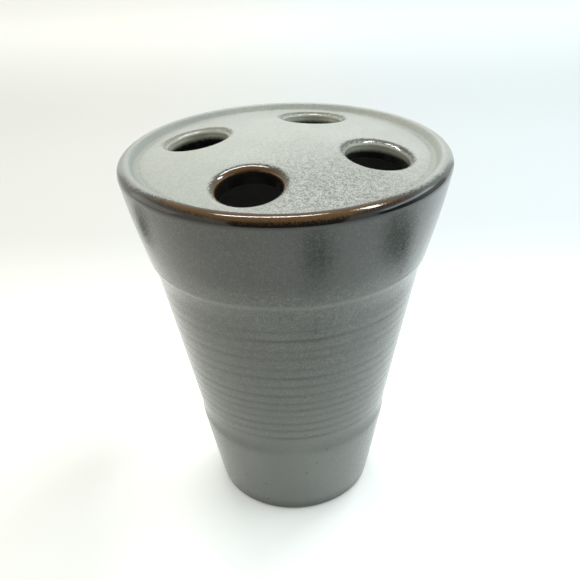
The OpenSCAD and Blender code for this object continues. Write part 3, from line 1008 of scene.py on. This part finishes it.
def attribute(tree, name):
    """A mask that is kept on the points of the piece itself."""
    node = tree.nodes.new("ShaderNodeAttribute")
    node.attribute_name = name
    return node.outputs["Fac"]


def steep_glaze():
    material, tree, shader, vector = new_material("grey_wall_glaze")
    grain = place_group(tree, grain_group, Vector=vector)
    over = place_group(tree, break_group, Vector=vector)
    tone = place_group(tree, wall_tone_group, Vector=vector)
    # The groove and ledge mask paints shade into the wall's colour.
    cloudy = times_plus(tree, grain["Clouds"], GROOVE_SHADE_CLOUDS, GROOVE_SHADE_STRENGTH)
    colour = tint(tree, tone["Color"], attribute(tree, "groove"), cloudy, GROOVE_SHADE_TONE)
    # Just under the rim, in front only: painted shade under the roll and a painted reflection of the dark
    # room in front.
    under_rim = times(tree, tone["Under rim"], over["Front"])
    colour = mixed_colour(tree, under_rim, colour, UNDER_RIM_SHADE_TONE)
    satin = times_plus(tree, grain["Crystals"], CRYSTAL_MATT, SATIN_WALL)
    rough = minus(tree, satin, times(tree, under_rim, UNDER_RIM_GLOSS))
    dress(tree, shader, colour, rough, grain["Skin"], RELIEF_WALL)
    return material


paint(wall, steep_glaze())

# %% [markdown]
# ## Bare clay, slip and the glaze inside
# Under the foot the clay is bare, and the buff brown body shows its grog, the
# crushed fired clay that makes it strong. The slip that beds the top is a
# finer, paler clay. The glaze inside is drawn as a mid grey: closed in as it
# is, hardly any light reaches it, and through the holes it reads as nearly
# black. A darker colour would leave the holes without any depth. These
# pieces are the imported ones, and only take a finish.

# %% The finishes that are mostly hidden
CLAY_LIGHT, CLAY_DARK, CLAY_SPECK = (0.16, 0.125, 0.085), (0.11, 0.085, 0.058), (0.10, 0.07, 0.05)
SLIP_LIGHT, SLIP_DARK = (0.50, 0.45, 0.38), (0.44, 0.39, 0.33)
LINER_DARK, LINER_LIGHT = (0.16, 0.165, 0.158), (0.20, 0.205, 0.195)
CLAY_GROG, SLIP_GROG, GROG_RANGE = (700, 3, 0.6), (1500, 3, 0.6), (0.35, 0.65)
CLAY_MATT, GROG_MATT, RELIEF_CLAY = 0.78, 0.15, 0.00015
SATIN_LINER, LINER_MATT = 0.14, 0.06


def bare_clay(name, light, dark, grog_noise):
    material, tree, shader, vector = new_material(name)
    grain = place_group(tree, grain_group, Vector=vector)
    grog = noise(tree, vector, *grog_noise)
    colour = mixed_colour(tree, smooth_step(tree, grog, *GROG_RANGE), dark, light)
    colour = mixed_colour(tree, grain["Dark specks"], colour, CLAY_SPECK)
    dress(tree, shader, colour, times_plus(tree, grog, GROG_MATT, CLAY_MATT), grog, RELIEF_CLAY)
    return material


def liner():
    material, tree, shader, vector = new_material("near_black_liner")
    grain = place_group(tree, grain_group, Vector=vector)
    colour = mixed_colour(tree, grain["Clouds"], LINER_DARK, LINER_LIGHT)
    satin = times_plus(tree, grain["Crystals"], LINER_MATT, SATIN_LINER)
    dress(tree, shader, colour, satin, grain["Skin"], RELIEF_WALL)
    return material


clay = bare_clay("brown_stoneware", CLAY_LIGHT, CLAY_DARK, CLAY_GROG)
paint(nodes["thrown_cup"], clay)
paint(nodes["top_plate"], clay)
paint(nodes["slip_joint"], bare_clay("fired_slip", SLIP_LIGHT, SLIP_DARK, SLIP_GROG))
paint(nodes["liner_glaze"], liner())

# %% [markdown]
# ## The white table
# The photograph was taken on a white table in soft daylight. Stronger lamps
# would make a floor that white, but they would bleach the glaze too. So the
# floor is a plain pale disc that also gives a little light of its own, which
# only the camera and reflections see. Ambient Occlusion takes that light
# away close to the foot, and so the holder keeps its shadow. As on the real
# table the tone is warm at the left and cool at the right, and a little
# darker behind the holder and to its left. There the camera alone sees less
# of the floor's own light, because the glaze mirrors all of it.

# %% The finish of the floor
# The warm left and cool right are the lamps' colours painted into the floor, and the darker floor behind
# the holder and to its left is painted shade.
WARM_WHITE, COOL_WHITE, UNLIT = (0.87, 0.862, 0.80), (0.80, 0.86, 0.87), (0.0, 0.0, 0.0)
FLOOR_LIFT, SHADOW_REACH, SHADOW_DEPTH = 0.56, 0.034, 0.75
DARKER_BEHIND, LESS_AT_LEFT, DULL_ROUGH, DULL_SHINE = 0.22, 0.75, 0.9, 0.1
# Places on the floor, in metres: where a change of tone begins and ends
WARM_TO_COOL, MIDDLE, LEFT_SIDE = (-0.15, 0.15), (0.28, 0.6), (0.03, 0.07)
BEHIND_IT, BEYOND_IT = (0.05, 0.12), (0.08, 0.19)
FAR_OFF, FURTHEST, FAR_SHARE = (0.36, 0.75), (0.8, 1.3), 0.6


def dull_material(name):
    material, tree, shader, vector = new_material(name)
    shader.inputs["Roughness"].default_value = DULL_ROUGH
    shader.inputs["Specular IOR Level"].default_value = DULL_SHINE
    return material, tree, shader, vector


def camera_share(tree, x, y, middle, far):
    """The share of the floor's own light that the camera sees at a place."""
    behind = times(tree, middle, smooth_step(tree, y, *BEHIND_IT))
    before = minus(tree, 1.0, behind)
    left = smooth_step(tree, times(tree, x, -1.0), *LEFT_SIDE)
    left = times(tree, left, before)
    return times(tree, times_plus(tree, left, -LESS_AT_LEFT, 1.0), plus(tree, before, far))


def own_light(tree, share):
    """Emission for the camera and for reflections, with a soft shadow at the foot."""
    path = tree.nodes.new("ShaderNodeLightPath").outputs
    mirrored = calculate(tree, "MAXIMUM", path["Is Glossy Ray"], path["Is Transmission Ray"])
    seen = times_plus(tree, path["Is Camera Ray"], share, mirrored)
    near = tree.nodes.new("ShaderNodeAmbientOcclusion")
    near.inputs["Distance"].default_value = SHADOW_REACH
    open_sky = calculate(tree, "POWER", near.outputs["AO"], SHADOW_DEPTH)
    return times(tree, times(tree, seen, open_sky), FLOOR_LIFT)


def pale_floor():
    material, tree, shader, vector = dull_material("pale_floor")
    x, y, z = split(tree, vector)
    middle = fade(tree, calculate(tree, "ABSOLUTE", x), *MIDDLE)
    further = plus(tree, times(tree, smooth_step(tree, y, *FAR_OFF), FAR_SHARE),
                   times(tree, smooth_step(tree, y, *FURTHEST), 1 - FAR_SHARE))
    far = times(tree, middle, further)
    beyond = times(tree, middle, smooth_step(tree, y, *BEYOND_IT))
    colour = mixed_colour(tree, smooth_step(tree, x, *WARM_TO_COOL), WARM_WHITE, COOL_WHITE)
    colour = tint(tree, colour, minus(tree, beyond, far), DARKER_BEHIND, UNLIT)
    tree.links.new(colour, shader.inputs["Base Color"])
    tree.links.new(colour, shader.inputs["Emission Color"])
    share = camera_share(tree, x, y, middle, far)
    tree.links.new(own_light(tree, share), shader.inputs["Emission Strength"])
    return material


print("the floor gives", FLOOR_LIFT, "of its own light")

# %% The floor
FLOOR_R = 3
start_alone()
bpy.ops.mesh.primitive_circle_add(vertices=96, radius=FLOOR_R, fill_type="NGON", location=(0, 0, 0))
floor = bpy.context.object
floor.name = "floor"
paint(floor, pale_floor())

# %% [markdown]
# ## Dark cards
# A glaze this smooth mirrors the room, and the real room was dark behind the
# camera and here and there beside the table. Product photographers hold up
# black cards for such dark lines, and so does this scene: a large one behind
# the camera for the line under the rim, one far to the right, and three small
# ones low down for the dark bands in the wall. Only reflections see them.

# %% Cards that only reflections see
# A card's place, its turns in degrees, and its two sizes, in metres
CARDS = {
    "dark_card": ((0, -0.55, 0.42), (70, 0, 0), (0.9, 0.75)),
    "card_right": ((0.137, -0.018, 0.001), (0, 0, 0), (0.046, 0.075)),
    "card_front": ((0.041, -0.116, 0.001), (0, 0, 0), (0.04, 0.042)),
    "card_left": ((-0.150, 0.088, 0.001), (0, 0, 0), (0.04, 0.05)),
    "far_right": ((0.55, 0.0, 0.15), (0, 90, 0), (0.30, 0.7))}
CARD_BLACK = (0.015, 0.014, 0.013, 1)
card_finish, tree, shader, vector = dull_material("dark_card")
shader.inputs["Base Color"].default_value = CARD_BLACK
for name, (at, turns, size) in CARDS.items():
    start_alone()
    bpy.ops.mesh.primitive_grid_add(x_subdivisions=4, y_subdivisions=4, size=1, location=(0, 0, 0))
    card = bpy.context.object
    card.name = name
    turned = Euler([math.radians(a) for a in turns]).to_matrix().to_4x4()
    card.data.transform(Matrix.Translation(at) @ turned @ Matrix.Diagonal((*size, 1, 1)))
    card.visible_camera = card.visible_diffuse = card.visible_shadow = False
    paint(card, card_finish)

# %% [markdown]
# ## The lamps and the world
# The daylight came from behind the holder and from both sides. It could be
# one large lamp, but the highlights on the rim and the hole edges
# are narrow, so two strips hang over and behind the holder. A wide lamp
# lights it softly from above, a warm one from the left and a cool one from
# the right. The world is white for the camera and for reflections, tinted
# as the table is, and a plain grey for everything else. Straight overhead it
# is dim in reflections, or the level glaze would look chalky.

# %% The lamps
def soft_lamp(name, at, target, size_x, size_y, watts, colour=(1, 1, 1)):
    lamp = bpy.data.lights.new(name, "AREA")
    lamp.shape = "RECTANGLE"
    lamp.size, lamp.size_y, lamp.energy, lamp.color = size_x, size_y, watts, colour
    holder = bpy.data.objects.new(name, lamp)
    bpy.context.scene.collection.objects.link(holder)
    holder.location = at
    holder.rotation_euler = (Vector(target) - Vector(at)).to_track_quat("-Z", "Y").to_euler()
    print("lamp", name, watts, "W")


TOP_MIDDLE, LOW_MIDDLE = (0, -0.03, 0.11), (0, 0, 0.05)
soft_lamp("strip", (-0.07, 0.30, 0.90), TOP_MIDDLE, 0.42, 0.07, 3.8)
soft_lamp("strip_right", (0.37, 0.24, 0.87), TOP_MIDDLE, 0.24, 0.07, 2.4)
soft_lamp("high_soft", (0, 0.1, 1.3), (0, 0, 0), 1.6, 1.6, 1.6)
soft_lamp("left_soft", (-0.9, 0.1, 0.35), LOW_MIDDLE, 0.7, 0.5, 1.12, (1, 0.95, 0.82))
soft_lamp("right_soft", (0.9, 0.0, 0.35), LOW_MIDDLE, 0.8, 0.6, 4.6, (0.76, 0.93, 1))

# %% The world
SKY_LEFT, SKY_RIGHT = (1.0, 1.0, 0.96), (0.96, 0.995, 1.0)
MIRRORED_LEFT, MIRRORED_RIGHT = (1.0, 0.99, 0.9), (0.91, 0.985, 1.0)
OVERHEAD, PLAIN_LIGHT = (0.22, 0.22, 0.22), (0.50, 0.51, 0.50)
LEFT_TO_RIGHT, TO_OVERHEAD = (-0.9, 0.9), (0.55, 0.85)
world = bpy.context.scene.world or bpy.data.worlds.new("world")
bpy.context.scene.world = world
world.use_nodes = True
tree = world.node_tree
path = tree.nodes.new("ShaderNodeLightPath").outputs
x, y, z = split(tree, tree.nodes.new("ShaderNodeTexCoord").outputs["Generated"])
mirrored = calculate(tree, "MAXIMUM", path["Is Glossy Ray"], path["Is Transmission Ray"])
seen = calculate(tree, "MAXIMUM", path["Is Camera Ray"], mirrored)
rightward = smooth_step(tree, x, *LEFT_TO_RIGHT)
around = mixed_colour(tree, path["Is Glossy Ray"], mixed_colour(tree, rightward, SKY_LEFT, SKY_RIGHT),
                      mixed_colour(tree, rightward, MIRRORED_LEFT, MIRRORED_RIGHT))
ceiling = times(tree, smooth_step(tree, z, *TO_OVERHEAD), path["Is Glossy Ray"])
around = mixed_colour(tree, ceiling, around, OVERHEAD)
tree.links.new(mixed_colour(tree, seen, PLAIN_LIGHT, around), tree.nodes["Background"].inputs["Color"])
bpy.context.scene.view_settings.view_transform = "Standard"
print("the world is set")
